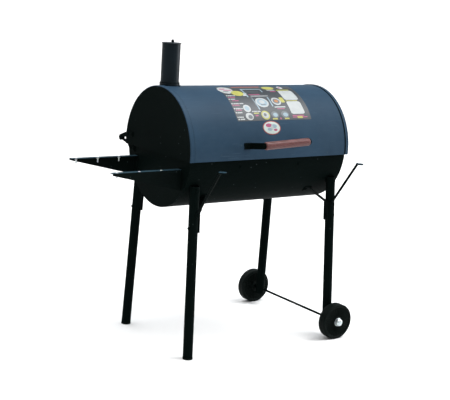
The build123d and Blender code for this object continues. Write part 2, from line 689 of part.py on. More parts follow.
def brace_leg_plane(side_x, side_y):
    """On the leg's centre line, in the middle of the brace's part along it: local Z runs up the leg."""
    z = (BRACE_TOP_Z + BRACE_END_Z) / 2
    lean = (side_x * (LEG_TOP_X - LEG_FLOOR_X), side_y * (LEG_TOP_Y - LEG_FLOOR_Y), LEG_TOP_Z)
    return Plane(origin=(side_x * leg_x(z), side_y * leg_y(z), z), x_dir=(1, 0, 0), z_dir=lean)


def leg_brace(side_x, side_y):
    """A bent strap: a foot on the barrel, a slanting run and a part along the inner side of the leg."""
    foot = brace_plane(side_x, side_y) * Pos(0, 0, GAP + BRACE_THICK / 2)
    half_length = (BRACE_TOP_Z - BRACE_END_Z) / 2
    shank = brace_leg_plane(side_x, side_y) * Pos(-side_x * (LEG_R + 2 * GAP + BRACE_THICK / 2), 0, 0)
    start = (foot * Pos(side_x * (BRACE_FOOT_HALF - 4), 0, 0)).position
    end = (shank * Pos(0, 0, half_length - 5)).position
    run = end - start
    slope = Plane(origin=(start + end) / 2, x_dir=(0, 1, 0), z_dir=run)
    brace = foot * Box(2 * BRACE_FOOT_HALF, BRACE_WIDTH, BRACE_THICK)
    brace += shank * Box(BRACE_THICK, BRACE_WIDTH, 2 * half_length)
    brace += slope * Box(BRACE_WIDTH, BRACE_THICK, run.length)
    brace -= x_rod(BODY_R + GAP, -FAR, FAR, 0, AXIS_Z)
    brace -= leg_round(side_x, side_y, LEG_R + GAP)
    brace -= brace_foot_hole(side_x, side_y)
    bolt_y = side_y * leg_y(BRACE_LEG_BOLT_Z)
    return brace - x_rod(BOLT_R + HOLE_GAP, side_x * 280, side_x * 340, bolt_y, BRACE_LEG_BOLT_Z)


def brace_bolts():
    head_x = leg_x(BRACE_LEG_BOLT_Z) + LEG_R + 0.4
    leg_grip = 2 * LEG_R + BRACE_THICK + 1.6
    for side_x, side_y in CORNERS.values():
        foot = brace_plane(side_x, side_y) * Pos(-side_x * BRACE_FOOT_BOLT, 0, BRACE_THICK + 2 * GAP)
        yield foot * hex_bolt(BOLT_R, BRACE_THICK + SHEET + 5 * GAP)
        y = side_y * leg_y(BRACE_LEG_BOLT_Z)
        yield facing_plane((side_x, 0, 0), side_x * head_x, y, BRACE_LEG_BOLT_Z) * hex_bolt(BOLT_R, leg_grip)


# ---- front shelf struts ---------------------------------------------------------------------------------

STRUT_FOOT_Y = -leg_y(STRUT_FOOT_Z - STRUT_FOOT_R) - LEG_R - 0.3


def bar_between(start, end, radius):
    """A round bar with a round end from one (y, z) to another, at X = 0."""
    run = (end[0] - start[0], end[1] - start[1])
    middle = (0, (start[0] + end[0]) / 2, (start[1] + end[1]) / 2)
    bar = Plane(origin=middle, x_dir=(1, 0, 0), z_dir=(0, *run)) * Cylinder(radius, math.hypot(*run))
    return bar + Pos(0, *end) * Sphere(radius)


def shelf_strut(side):
    """A rod with a flat eye on the leg and a flat eye under the shelf."""
    foot_y = STRUT_FOOT_Y - STRUT_TAB_THICK
    rod_z = STRUT_FOOT_Z + STRUT_ROD_RISE
    strut = y_rod(STRUT_FOOT_R, STRUT_FOOT_Y, foot_y, 0, STRUT_FOOT_Z)
    strut += block(-STRUT_R, STRUT_R, STRUT_FOOT_Y, foot_y, STRUT_FOOT_Z, rod_z)
    strut += bar_between((foot_y - 1, rod_z), STRUT_BEND, STRUT_R)
    strut += Pos(0, foot_y - 1, rod_z) * Sphere(STRUT_R)
    strut += z_rod(STRUT_TAB_R, STRUT_BEND[1] - 1, STRUT_BEND[1] - 1 + STRUT_TAB_THICK, 0, STRUT_TAB_Y)
    strut -= block(-FAR, FAR, STRUT_FOOT_Y, 0, 0, FAR)
    strut -= y_rod(BOLT_R + HOLE_GAP, -FAR, 0, 0, STRUT_FOOT_Z)
    strut -= z_rod(STRUT_HOLE_R, 0, FAR, 0, STRUT_TAB_Y)
    return Pos(side * STRUT_X, 0, 0) * strut


def strut_bolts():
    head_y = STRUT_FOOT_Y - STRUT_TAB_THICK - GAP
    grip = STRUT_TAB_THICK + 2 * LEG_R + 2
    for side in (-1, 1):
        yield facing_plane((0, -1, 0), side * STRUT_X, head_y, STRUT_FOOT_Z) * hex_bolt(BOLT_R, grip)


# ---- wheels ---------------------------------------------------------------------------------------------

def wheel(side_y):
    """A moulded wheel: a ribbed web between the tread and the hub."""
    middle = side_y * (WHEEL_IN_Y + WHEEL_OUT_Y) / 2
    inner_y, outer_y = side_y * WHEEL_IN_Y, side_y * WHEEL_OUT_Y
    disc = y_rod(WHEEL_R, inner_y, outer_y, AXLE_X, WHEEL_R)
    disc = fillet(disc.edges().filter_by(GeomType.CIRCLE), 4.0)
    well = y_rod(WHEEL_R - TREAD_DEPTH, inner_y, outer_y, AXLE_X, WHEEL_R)
    well -= y_rod(HUB_R, inner_y, outer_y, AXLE_X, WHEEL_R)
    well -= y_rod(WHEEL_R, middle - WEB_THICK / 2, middle + WEB_THICK / 2, AXLE_X, WHEEL_R)
    for number in range(RIB_COUNT):
        rib = Box(WHEEL_R, WHEEL_OUT_Y - WHEEL_IN_Y - 2, RIB_THICK)
        turn = Pos(AXLE_X, middle, WHEEL_R) * Rot(0, number * 360 / RIB_COUNT, 0)
        well -= turn * Pos(WHEEL_R / 2, 0, 0) * rib
    return disc - well - y_rod(AXLE_R + RUNNING_GAP, inner_y, outer_y, AXLE_X, WHEEL_R)


def axle():
    half = WHEEL_OUT_Y + 10
    return y_rod(AXLE_R, -half, half, AXLE_X, WHEEL_R)


def axle_spacers():
    """Sleeves on the axle between each leg and its wheel."""
    for side_y in (-1, 1):
        sleeve = y_rod(9, side_y * leg_y(WHEEL_R), side_y * (WHEEL_IN_Y - MOVING_GAP), AXLE_X, WHEEL_R)
        sleeve -= y_rod(AXLE_R + GAP, side_y * 200, side_y * 300, AXLE_X, WHEEL_R)
        yield sleeve - leg_round(1, side_y, LEG_R + GAP)


def hub_caps():
    """Round push nuts over the axle's ends."""
    inner_y = WHEEL_OUT_Y + MOVING_GAP
    rim_y = HUB_CAP_OUT_Y - 9
    for side_y in (-1, 1):
        cap = y_rod(HUB_CAP_R, side_y * inner_y, side_y * rim_y, AXLE_X, WHEEL_R)
        cap += facing_plane((0, side_y, 0), AXLE_X, side_y * rim_y, WHEEL_R) * dome(HUB_CAP_R, 9)
        yield cap - y_rod(AXLE_R + GAP, 0, side_y * (WHEEL_OUT_Y + 10 + GAP), AXLE_X, WHEEL_R)


# ---- all the nodes --------------------------------------------------------------------------------------

def all_nodes():
    nodes = {
        "body_shell": body_shell(),
        "rail_bolts": group(rail_bolts()),
        "fire_grate": fire_grate(),
        "air_shutter": air_shutter(),
        "shutter_rivet": shutter_rivet(),
        "lid_shell": lid_shell(),
        "hinge_bolts": group(hinge_bolts()),
        "body_ear_bolts": group(ear_bolts(BODY_EAR_BOLTS, BODY_HALF + EAR_THICK)),
        "lid_ear_bolts": group(ear_bolts(LID_EAR_BOLTS, LID_HALF + EAR_THICK)),
        "stack_tube": stack_tube(),
        "stack_collar": stack_collar(),
        "stack_flange": stack_flange(),
        "stack_rivets": group(stack_rivets()),
        "stack_cap": stack_cap(),
        "cap_bolt": cap_bolt(),
        "handle_grip": handle_grip(),
        "handle_rod": handle_rod(),
        "handle_bolts": group(handle_bolts()),
        "lid_label": lid_label(),
        "lid_badge": lid_badge(),
        "slat_bolts": group(slat_bolts()),
        "bracket_bolts": group(bracket_bolts()),
        "foot_caps": group(foot_caps()),
        "leg_bolts": group(leg_bolts()),
        "brace_bolts": group(brace_bolts()),
        "strut_bolts": group(strut_bolts()),
        "axle": axle(),
        "axle_spacers": group(axle_spacers()),
        "hub_caps": group(hub_caps()),
    }
    for index in range(GRATE_COUNT):
        nodes[f"cooking_grate_{index + 1}"] = cooking_grate(index)
    for name, side_y in (("front", -1), ("back", 1)):
        nodes[f"grate_rail_{name}"] = grate_rail(side_y)
        nodes[f"shelf_bracket_{name}"] = shelf_bracket(side_y)
        nodes[f"wheel_{name}"] = wheel(side_y)
    for name, side in (("left", -1), ("right", 1)):
        nodes[f"body_end_{name}"] = body_end(side)
        nodes[f"lid_end_{name}"] = lid_end(side)
        nodes[f"body_hinge_ear_{name}"] = body_hinge_ear(side)
        nodes[f"lid_hinge_ear_{name}"] = lid_hinge_ear(side)
        nodes[f"handle_bracket_{name}"] = handle_bracket(side)
        nodes[f"shelf_strut_{name}"] = shelf_strut(side)
    for name, corner in CORNERS.items():
        nodes[f"leg_{name}"] = leg(*corner)
        nodes[f"leg_brace_{name}"] = leg_brace(*corner)
    return nodes


os.makedirs("parts", exist_ok=True)
for node, shape in all_nodes().items():
    export_step(Pos(-ORIGIN_X, -ORIGIN_Y, 0) * shape, f"parts/{node}.step")
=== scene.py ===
import json
import math

import bmesh
import bpy
from mathutils import Matrix, Vector


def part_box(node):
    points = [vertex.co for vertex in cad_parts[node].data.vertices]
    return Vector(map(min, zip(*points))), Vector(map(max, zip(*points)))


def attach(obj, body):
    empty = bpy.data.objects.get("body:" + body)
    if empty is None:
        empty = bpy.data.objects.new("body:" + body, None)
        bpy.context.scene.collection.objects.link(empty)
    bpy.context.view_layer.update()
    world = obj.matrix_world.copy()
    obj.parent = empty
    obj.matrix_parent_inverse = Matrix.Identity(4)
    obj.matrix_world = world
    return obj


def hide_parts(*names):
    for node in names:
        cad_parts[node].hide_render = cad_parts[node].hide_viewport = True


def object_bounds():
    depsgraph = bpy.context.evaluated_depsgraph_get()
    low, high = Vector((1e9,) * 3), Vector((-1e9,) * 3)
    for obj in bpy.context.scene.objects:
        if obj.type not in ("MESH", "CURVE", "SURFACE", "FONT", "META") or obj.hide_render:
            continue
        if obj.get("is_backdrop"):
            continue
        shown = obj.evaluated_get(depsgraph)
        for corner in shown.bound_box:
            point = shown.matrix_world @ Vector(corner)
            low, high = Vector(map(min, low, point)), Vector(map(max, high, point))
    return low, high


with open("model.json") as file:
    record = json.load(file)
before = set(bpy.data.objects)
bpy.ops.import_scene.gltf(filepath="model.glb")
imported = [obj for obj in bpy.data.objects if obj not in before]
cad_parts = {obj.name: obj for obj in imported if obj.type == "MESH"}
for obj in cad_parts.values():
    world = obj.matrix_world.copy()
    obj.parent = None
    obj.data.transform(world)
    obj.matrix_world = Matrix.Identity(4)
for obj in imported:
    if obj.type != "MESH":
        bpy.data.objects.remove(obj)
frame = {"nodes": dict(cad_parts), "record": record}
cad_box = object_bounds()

# The looks of a barrel charcoal smoker grill: materials for its metal pieces, and finer meshes for the lid's
# pressed ends, label, badge, wooden grip, wheels and hub caps, with a weld bead at the stack's foot. Objects
# are in metres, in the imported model's frame; profiles and the label's drawing are in millimetres.

MM = 0.001

# ---- places from the frame
SHELL_LOW, SHELL_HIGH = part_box("lid_shell")
MID_X = (SHELL_LOW.x + SHELL_HIGH.x) / 2
MID_Y = (SHELL_LOW.y + SHELL_HIGH.y) / 2
AXIS_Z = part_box("body_shell")[1].z
LID_R = SHELL_HIGH.z - AXIS_Z
BAND_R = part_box("lid_end_left")[1].z - AXIS_Z
BARREL_AXIS = Vector((MID_X, MID_Y, AXIS_Z))
LID_FRONT_LOW = SHELL_LOW.z          # lower edge of the lid's skin at the front


# ---- camera ---------------------------------------------------------------------------------------------

CAMERA_FROM_AXIS = (-2.5555, -3.5169, 1.4330)   # from the floor point under the middle of the barrel
CAMERA_RIGHT = (0.81958, -0.56985, 0.05965)
CAMERA_UP = (0.06594, 0.19724, 0.97814)
LENS = 86.7


def make_camera():
    right = Vector(CAMERA_RIGHT).normalized()
    up = Vector(CAMERA_UP)
    up = (up - right * up.dot(right)).normalized()
    back = right.cross(up)
    data = bpy.data.cameras.new("camera")
    data.lens = LENS
    data.sensor_width = 36.0
    camera = bpy.data.objects.new("camera", data)
    turn = Matrix((right, up, back)).transposed().to_4x4()
    place = Vector(CAMERA_FROM_AXIS) + Vector((MID_X, MID_Y, 0))
    camera.matrix_world = Matrix.Translation(place) @ turn
    bpy.context.scene.collection.objects.link(camera)
    bpy.context.scene.camera = camera


# ---- materials ------------------------------------------------------------------------------------------

class Paint:
    """One procedural material. Its patterns lie in the object's own coordinates, in metres."""

    def __init__(self, name, **sockets):
        self.material = bpy.data.materials.new(name)
        self.material.use_nodes = True
        self.tree = self.material.node_tree
        self.bsdf = self.tree.nodes["Principled BSDF"]
        for socket, value in sockets.items():
            self.bsdf.inputs[socket.replace("_", " ")].default_value = value
        self.place = self.node("ShaderNodeTexCoord").outputs["Object"]
        self.normal = None

    def node(self, kind, **settings):
        made = self.tree.nodes.new(kind)
        for key, value in settings.items():
            setattr(made, key, value)
        return made

    def link(self, start, end):
        self.tree.links.new(start, end)

    def stretched(self, scale, turn=(0, 0, 0)):
        mapping = self.node("ShaderNodeMapping")
        mapping.inputs["Scale"].default_value = scale
        mapping.inputs["Rotation"].default_value = turn
        self.link(self.place, mapping.inputs["Vector"])
        return mapping.outputs["Vector"]

    def noise(self, scale, detail=4.0, rough=0.5, at=None, distortion=0.0):
        made = self.node("ShaderNodeTexNoise")
        made.inputs["Scale"].default_value = scale
        made.inputs["Detail"].default_value = detail
        made.inputs["Roughness"].default_value = rough
        made.inputs["Distortion"].default_value = distortion
        self.link(at or self.place, made.inputs["Vector"])
        return made.outputs["Fac"]

    def cells(self, scale):
        """The distance from the nearest of many scattered points, in parts of their spacing."""
        made = self.node("ShaderNodeTexVoronoi")
        made.inputs["Scale"].default_value = scale
        self.link(self.place, made.inputs["Vector"])
        return made.outputs["Distance"]

    def facing_up(self):
        """One on level faces that look up, and nought on the rest."""
        split = self.node("ShaderNodeSeparateXYZ")
        self.link(self.node("ShaderNodeTexCoord").outputs["Normal"], split.inputs["Vector"])
        return self.grey_ramp(split.outputs["Z"], [(0.80, 0.0), (0.95, 0.85)])

    def ramp(self, value, stops):
        made = self.node("ShaderNodeValToRGB")
        elements = made.color_ramp.elements
        while len(elements) < len(stops):
            elements.new(0.5)
        for element, (position, color) in zip(elements, stops):
            element.position = position
            element.color = (*color, 1.0)
        self.link(value, made.inputs["Fac"])
        return made.outputs["Color"]

    def grey_ramp(self, value, stops):
        return self.ramp(value, [(position, (level,) * 3) for position, level in stops])

    def mix(self, share, first, second, blend="MIX"):
        made = self.node("ShaderNodeMix", data_type="RGBA", blend_type=blend)
        sockets = made.inputs
        for socket, value in ((sockets[0], share), (sockets[6], first), (sockets[7], second)):
            if isinstance(value, (int, float)):
                socket.default_value = value
            elif isinstance(value, tuple):
                socket.default_value = (*value, 1.0)
            else:
                self.link(value, socket)
        return made.outputs[2]

    def color(self, value):
        self.link(value, self.bsdf.inputs["Base Color"])

    def rough(self, value, low, high):
        made = self.node("ShaderNodeMapRange")
        made.inputs["To Min"].default_value = low
        made.inputs["To Max"].default_value = high
        self.link(value, made.inputs["Value"])
        self.link(made.outputs["Result"], self.bsdf.inputs["Roughness"])

    def bump(self, height, distance_mm, strength=1.0):
        made = self.node("ShaderNodeBump")
        made.inputs["Strength"].default_value = strength
        made.inputs["Distance"].default_value = distance_mm * MM
        self.link(height, made.inputs["Height"])
        if self.normal is not None:
            self.link(self.normal, made.inputs["Normal"])
        self.normal = made.outputs["Normal"]
        self.link(self.normal, self.bsdf.inputs["Normal"])


def shade(color, factor):
    return tuple(min(1.0, level * factor) for level in color)


FLECK = (0.045, 0.060, 0.062)        # of ash on the paint


def enamel(name, color, dusty, rough, specular, painted_top_light=None):
    """Sprayed heat-resistant paint: faint mottling, orange peel, fine scratches, a little dust and ash, and,
    when a colour is given, a painted top light: that lighter colour on level faces that look up."""
    paint = Paint(name, Specular_IOR_Level=specular)
    broad = paint.noise(3.2, detail=3.0)
    mottle = paint.noise(38.0, detail=5.0, rough=0.6)
    tone = paint.ramp(broad, [(0.30, shade(color, 0.84)), (0.70, shade(color, 1.16))])
    speck = paint.grey_ramp(mottle, [(0.35, 0.0), (0.75, 1.0)])
    share = paint.mix(0.16, (0.0, 0.0, 0.0), speck)
    toned = paint.mix(share, tone, dusty)
    scratch = paint.noise(30.0, detail=2.0, rough=0.4, at=paint.stretched((0.4, 9.0, 9.0), (0.15, 0.2, 0.5)))
    scratch_mask = paint.grey_ramp(scratch, [(0.68, 0.0), (0.72, 0.35)])
    scratched = paint.mix(scratch_mask, toned, shade(dusty, 1.2))
    fleck_mask = paint.grey_ramp(paint.cells(26.0), [(0.045, 0.5), (0.075, 0.0)])
    flecked = paint.mix(fleck_mask, scratched, FLECK)
    # Painted top light: faces that look up take a lighter, bluish colour, as if lit from above.
    if painted_top_light:
        flecked = paint.mix(paint.facing_up(), flecked, painted_top_light)
    paint.color(flecked)
    paint.rough(mottle, rough - 0.08, rough + 0.10)
    paint.bump(paint.noise(420.0, detail=2.0), 0.10, 0.35)
    paint.bump(paint.noise(14.0, detail=2.0), 0.6, 0.12)
    return paint.material


def zinc(name, color, rough):
    """Zinc plate with a faint crystal pattern and fine lines."""
    paint = Paint(name, Metallic=1.0)
    cells = paint.node("ShaderNodeTexVoronoi")
    cells.inputs["Scale"].default_value = 260.0
    paint.link(paint.place, cells.inputs["Vector"])
    cloud = paint.noise(120.0, detail=4.0)
    tone = paint.ramp(cloud, [(0.3, shade(color, 0.78)), (0.7, shade(color, 1.12))])
    paint.color(paint.mix(0.12, tone, cells.outputs["Color"], "OVERLAY"))
    paint.rough(cloud, rough - 0.08, rough + 0.12)
    paint.bump(paint.noise(700.0, detail=2.0, at=paint.stretched((1.0, 6.0, 1.0))), 0.05, 0.25)
    return paint.material


def bare_steel(name, color):
    """Heat-darkened bare steel with brown tints."""
    paint = Paint(name, Metallic=0.85, Specular_IOR_Level=0.4)
    cloud = paint.noise(16.0, detail=6.0, rough=0.65)
    brown = (0.075, 0.055, 0.04)
    tint = paint.ramp(cloud, [(0.25, shade(color, 0.6)), (0.5, brown), (0.75, shade(color, 1.3))])
    paint.color(tint)
    paint.rough(paint.noise(90.0, detail=5.0), 0.42, 0.7)
    paint.bump(paint.noise(500.0, detail=3.0), 0.12, 0.4)
    return paint.material


def cast_iron(name, color):
    """Seasoned cast iron: a sandy surface with a dull oily sheen."""
    paint = Paint(name, Metallic=0.3, Specular_IOR_Level=0.45)
    grain = paint.noise(650.0, detail=5.0, rough=0.7)
    patch = paint.noise(22.0, detail=4.0)
    paint.color(paint.ramp(patch, [(0.3, shade(color, 0.6)), (0.7, shade(color, 1.6))]))
    paint.rough(patch, 0.45, 0.72)
    paint.bump(grain, 0.35, 0.6)
    paint.bump(paint.noise(120.0, detail=3.0), 0.4, 0.3)
    return paint.material


def moulded_plastic(name, color):
    """Black moulded plastic: fine grain and scuffs."""
    paint = Paint(name, Specular_IOR_Level=0.04)
    scuff = paint.noise(60.0, detail=6.0, rough=0.7)
    tone = paint.ramp(scuff, [(0.35, shade(color, 0.75)), (0.62, color), (0.8, shade(color, 2.4))])
    paint.color(tone)
    paint.rough(scuff, 0.42, 0.62)
    paint.bump(paint.noise(1500.0, detail=2.0), 0.06, 0.4)
    return paint.material


def stained_wood(name, dark, light):
    """Turned hardwood, its grain along X, with a red-brown stain under satin lacquer."""
    paint = Paint(name, Coat_Weight=0.10, Coat_Roughness=0.25, Specular_IOR_Level=0.15)
    along = paint.stretched((1.4, 26.0, 26.0))
    rings = paint.node("ShaderNodeTexWave", wave_type="RINGS", rings_direction="X")
    rings.inputs["Scale"].default_value = 5.0
    rings.inputs["Distortion"].default_value = 6.0
    rings.inputs["Detail"].default_value = 3.0
    rings.inputs["Detail Scale"].default_value = 1.2
    paint.link(along, rings.inputs["Vector"])
    fibre = paint.noise(16.0, detail=6.0, rough=0.65, at=paint.stretched((3.0, 60.0, 60.0)))
    pores = paint.noise(30.0, detail=3.0, rough=0.5, at=paint.stretched((2.2, 90.0, 90.0)))
    base = paint.ramp(rings.outputs["Fac"], [(0.15, dark), (0.75, light)])
    veined = paint.mix(0.45, base, paint.ramp(fibre, [(0.3, shade(dark, 0.7)), (0.7, shade(light, 1.15))]))
    pore_mask = paint.grey_ramp(pores, [(0.50, 0.0), (0.62, 0.8)])
    paint.color(paint.mix(pore_mask, veined, shade(dark, 0.45)))
    paint.rough(fibre, 0.34, 0.52)
    paint.bump(fibre, 0.12, 0.5)
    paint.bump(pores, 0.10, 0.3)
    return paint.material


def print_ink(name, color, rough=0.38):
    """Glossy printed film with a faint press grain and slight fading."""
    paint = Paint(name, Specular_IOR_Level=0.4)
    fade = paint.noise(28.0, detail=4.0)
    paint.color(paint.ramp(fade, [(0.3, shade(color, 0.88)), (0.7, shade(color, 1.06))]))
    paint.rough(fade, rough - 0.06, rough + 0.08)
    paint.bump(paint.noise(900.0, detail=2.0), 0.03, 0.3)
    return paint.material


def pale_floor(name):
    paint = Paint(name, Specular_IOR_Level=0.2)
    cloud = paint.noise(1.5, detail=3.0)
    paint.color(paint.ramp(cloud, [(0.3, (0.76, 0.76, 0.76)), (0.7, (0.78, 0.78, 0.78))]))
    paint.rough(cloud, 0.8, 0.9)
    return paint.material


BLUE_BLACK = (0.0175, 0.0390, 0.066)
LID_DUST = (0.034, 0.060, 0.088)
BLACK = (0.0016, 0.0034, 0.0030)
BLACK_DUST = (0.004, 0.0075, 0.0085)
STACK_BLACK = (0.0022, 0.0066, 0.0095)
# Painted top light for the shelf brackets and struts: their upward faces are drawn lighter and bluish, as if
# lit from overhead.
SHELF_PAINTED_TOP_LIGHT = (0.020, 0.044, 0.060)

LOOKS = {
    "lid_paint": enamel("lid_enamel", BLUE_BLACK, LID_DUST, 0.46, 0.06),
    "black_paint": enamel("black_enamel", BLACK, BLACK_DUST, 0.56, 0.007),
    "zinc_steel": zinc("zinc_plate", (0.46, 0.49, 0.50), 0.34),
    "hub_cap_metal": zinc("bright_zinc", (0.60, 0.66, 0.67), 0.34),
    "grate_steel": bare_steel("heat_darkened_steel", (0.12, 0.12, 0.12)),
    "cast_iron": cast_iron("seasoned_iron", (0.022, 0.022, 0.022)),
    "black_plastic": moulded_plastic("black_plastic", (0.0028, 0.0052, 0.0046)),
    "stained_wood": stained_wood("stained_wood", (0.042, 0.013, 0.008), (0.165, 0.066, 0.068)),
}
STACK_LOOK = enamel("stack_enamel", STACK_BLACK, shade(STACK_BLACK, 1.8), 0.38, 0.10)
# The shelf pieces get a painted top light on their upward faces.
SHELF_LOOK = enamel("shelf_enamel", BLACK, BLACK_DUST, 0.50, 0.02, SHELF_PAINTED_TOP_LIGHT)
INKS = {
    "night": print_ink("ink_night", (0.020, 0.026, 0.032)),
    "cream": print_ink("ink_cream", (0.38, 0.44, 0.41)),
    "white": print_ink("ink_white", (0.302, 0.320, 0.320)),
    "yellow": print_ink("ink_yellow", (0.285, 0.276, 0.056)),
    "pink": print_ink("ink_pink", (0.268, 0.043, 0.112)),
    "red": print_ink("ink_red", (0.251, 0.039, 0.030)),
    "orange": print_ink("ink_orange", (0.302, 0.121, 0.035)),
    "sky": print_ink("ink_sky", (0.181, 0.251, 0.294)),
    "grey": print_ink("ink_grey", (0.073, 0.086, 0.095)),
}


STACK_NODES = ("stack_tube", "stack_collar", "stack_cap", "cap_bolt")
SHELF_NODES = ("shelf_bracket_front", "shelf_bracket_back", "shelf_strut_left", "shelf_strut_right")
OWN_LOOKS = dict.fromkeys(STACK_NODES, STACK_LOOK) | dict.fromkeys(SHELF_NODES, SHELF_LOOK)


def paint_cad_nodes():
    slots = {entry["node"]: entry["material_slot"] for entry in frame["record"]["subparts"]}
    for name, piece in frame["nodes"].items():
        look = LOOKS.get(slots[name])
        if look is None:
            continue
        piece.data.materials.clear()
        piece.data.materials.append(OWN_LOOKS.get(name, look))


# ---- mesh helpers ---------------------------------------------------------------------------------------

def add_piece(name, mesh_builder, materials, body, replaced=(), smooth_angle=35.0):
    """Turns a bmesh into an object that rides on a body."""
    bmesh.ops.recalc_face_normals(mesh_builder, faces=mesh_builder.faces)
    data = bpy.data.meshes.new(name)
    mesh_builder.to_mesh(data)
    mesh_builder.free()
    for material in materials:
        data.materials.append(material)
    data.shade_smooth()
    data.set_sharp_from_angle(angle=math.radians(smooth_angle))
    piece = bpy.data.objects.new(name, data)
    bpy.context.scene.collection.objects.link(piece)
    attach(piece, body)
    if replaced:
        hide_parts(*replaced)
    return piece


def add_lathe(builder, profile, centre, axis, start, segments, material_of=None):
    """Spins a closed (along, radius) profile about an axis. start is the radial direction of the first copy,
    and material_of gives a material's index from the middle of a profile's side."""
    axis, start = Vector(axis).normalized(), Vector(start).normalized()
    side = axis.cross(start)
    rings = []
    for step in range(segments):
        turn = 2 * math.pi * step / segments
        radial = start * math.cos(turn) + side * math.sin(turn)
        points = [centre + axis * along + radial * radius for along, radius in profile]
        rings.append([builder.verts.new(point) for point in points])
    count = len(profile)
    for step in range(segments):
        here, after = rings[step], rings[(step + 1) % segments]
        for index in range(count):
            nxt = (index + 1) % count
            corners = (here[index], here[nxt], after[nxt], after[index])
            face = builder.faces.new(corners)
            if material_of:
                along, radius = ((profile[index][way] + profile[nxt][way]) / 2 for way in (0, 1))
                face.material_index = material_of(along, radius)


def arc(along, radius, bend, start, end, steps=5):
    """Points of a round corner in an (along, radius) profile, from its centre, bend and angles in degrees."""
    points = []
    for step in range(steps + 1):
        turn = math.radians(start + (end - start) * step / steps)
        points.append((along + bend * math.cos(turn), radius + bend * math.sin(turn)))
    return points


def in_mm(profile):
    return [(along * MM, radius * MM) for along, radius in profile]


# ---- label and badge ------------------------------------------------------------------------------------

FILM_THICK = 0.30           # of the label's ground, in millimetres
INK_STEP = 0.05             # each printed layer stands this much above the one below
INK_ORDER = list(INKS)


def on_lid(x, v, radius):
    """A point at a radius about the barrel: x from mid length and v up along the skin, in millimetres."""
    angle = v * MM / LID_R
    return BARREL_AXIS + Vector((x * MM, -radius * math.cos(angle), radius * math.sin(angle)))


def add_patch(builder, shape, ink, layer):
    """A thin closed patch of film on the lid, built of level rows between a shape's two edges."""
    edges, low, high, rows = shape
    base = LID_R + 0.1 * MM if layer == 0 else LID_R + (0.1 + FILM_THICK + (layer - 1) * INK_STEP) * MM
    top = base + (FILM_THICK if layer == 0 else INK_STEP) * MM
    strips = []
    for row in range(rows + 1):
        v = low + (high - low) * row / rows
        left, right = edges(v)
        strips.append([builder.verts.new(on_lid(x, v, radius))
                       for x, radius in ((left, base), (left, top), (right, top), (right, base))])
    faces = [strips[0], strips[-1][::-1]]
    for below, above in zip(strips, strips[1:]):
        for index in range(4):
            nxt = (index + 1) % 4
            faces.append([below[index], below[nxt], above[nxt], above[index]])
    for corners in faces:
        builder.faces.new(corners).material_index = INK_ORDER.index(ink)


def bar(x0, x1, v0, v1, slant=0.0):
    """A straight bar; slant shifts its top sideways."""
    def edges(v):
        shift = slant * (v - v0) / (v1 - v0)
        return x0 + shift, x1 + shift
    return edges, v0, v1, max(1, round((v1 - v0) / 4))


def oval(x, v, half_x, half_v, rows=18):
    def edges(at):
        share = max(0.0, 1 - ((at - v) / half_v) ** 2)
        reach = max(0.15, half_x * math.sqrt(share))
        return x - reach, x + reach
    return edges, v - half_v, v + half_v, rows


def rounded(x0, x1, v0, v1, corner):
    """A rectangle with round corners."""
    def edges(v):
        depth = max(0.0, corner - (v - v0), corner - (v1 - v))
        inset = corner - math.sqrt(max(0.0, corner**2 - depth**2))
        return x0 + inset, x1 - inset
    return edges, v0, v1, 22


def dashes(x0, x1, v, height, count):
    """A broken line that stands for a line of small print."""
    step = (x1 - x0) / count
    for number in range(count):
        wide = step * (0.92 if number % 3 else 0.70)
        yield bar(x0 + number * step, x0 + number * step + wide, v, v + height)


